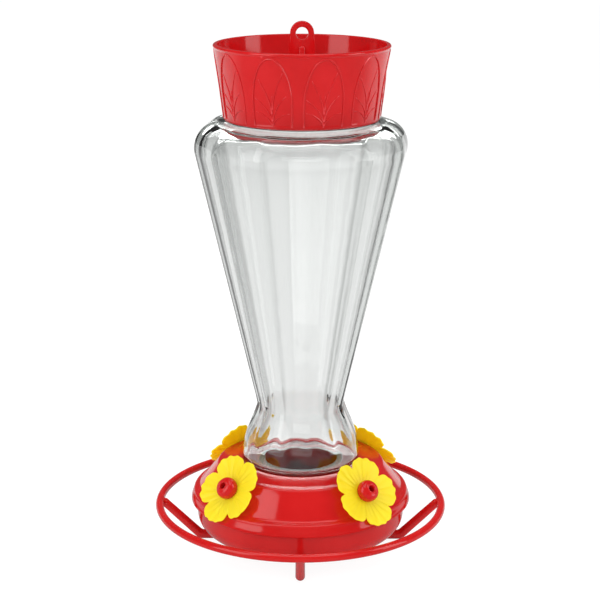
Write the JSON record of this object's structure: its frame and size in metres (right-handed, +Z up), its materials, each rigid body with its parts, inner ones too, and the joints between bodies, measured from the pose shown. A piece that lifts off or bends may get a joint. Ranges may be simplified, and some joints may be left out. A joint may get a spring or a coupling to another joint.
{
  "type": "hummingbird feeder",
  "caption": "Hanging hummingbird feeder: fluted glass bottle filled from the top, red base with flower ports and a perch ring, and a cap with an ant moat.",
  "frame": {"origin": "on the bottle's axis, at the surface that the feeder stands on", "axes": "+Z up along the bottle's axis, front towards -Y, the hanging tab's plate in the XZ plane"},
  "size_m": [0.1646, 0.1646, 0.2948],
  "materials": {
    "red_plastic": "glossy moulded plastic",
    "yellow_plastic": "satin moulded plastic",
    "clear_glass": "clear pressed glass",
    "seal_rubber": "soft dark red rubber"
  },
  "bodies": {
    "base": {"base_bowl": "red_plastic", "perch": "red_plastic", "valve_stopper": "seal_rubber"},
    "rim_seal": {"bowl_seal": "seal_rubber"},
    "cover": {"base_cover": "red_plastic", "flower_front_left": "yellow_plastic", "flower_front_right": "yellow_plastic", "flower_back_left": "yellow_plastic", "flower_back_right": "yellow_plastic", "port_front_left": "red_plastic", "port_front_right": "red_plastic", "port_back_left": "red_plastic", "port_back_right": "red_plastic"},
    "foot_seal": {"bottle_seal": "seal_rubber"},
    "bottle": {"bottle": "clear_glass"},
    "mouth_gasket": {"cap_gasket": "seal_rubber"},
    "cap": {"moat_cap": "red_plastic"}
  },
  "joints": [
    {"name": "cover_turn", "type": "hinge", "parent": "base", "child": "rim_seal", "pos_m": [0, 0, 0.0298], "axis": [0, 0, 1], "range_deg": [0, 40]},
    {"name": "cover_lift", "type": "slide", "parent": "rim_seal", "child": "cover", "axis": [0, 0, 1], "range_m": [0, 0.03]},
    {"name": "bottle_rise", "type": "slide", "parent": "cover", "child": "foot_seal", "axis": [0, 0, 1], "range_m": [0, 0.016]},
    {"name": "bottle_turn", "type": "hinge", "parent": "foot_seal", "child": "bottle", "pos_m": [0, 0, 0.04967], "axis": [0, 0, 1], "range_deg": [0, 1442]},
    {"name": "cap_rise", "type": "slide", "parent": "bottle", "child": "mouth_gasket", "axis": [0, 0, 1], "range_m": [0, 0.018]},
    {"name": "cap_turn", "type": "hinge", "parent": "mouth_gasket", "child": "cap", "pos_m": [0, 0, 0.26196], "axis": [0, 0, 1], "range_deg": [0, 1082]}
  ],
  "couplings": [
    {"joint": "bottle_turn", "follows": "bottle_rise", "rad_per_m": 1570.8},
    {"joint": "cap_turn", "follows": "cap_rise", "rad_per_m": 1047.2}
  ]
}
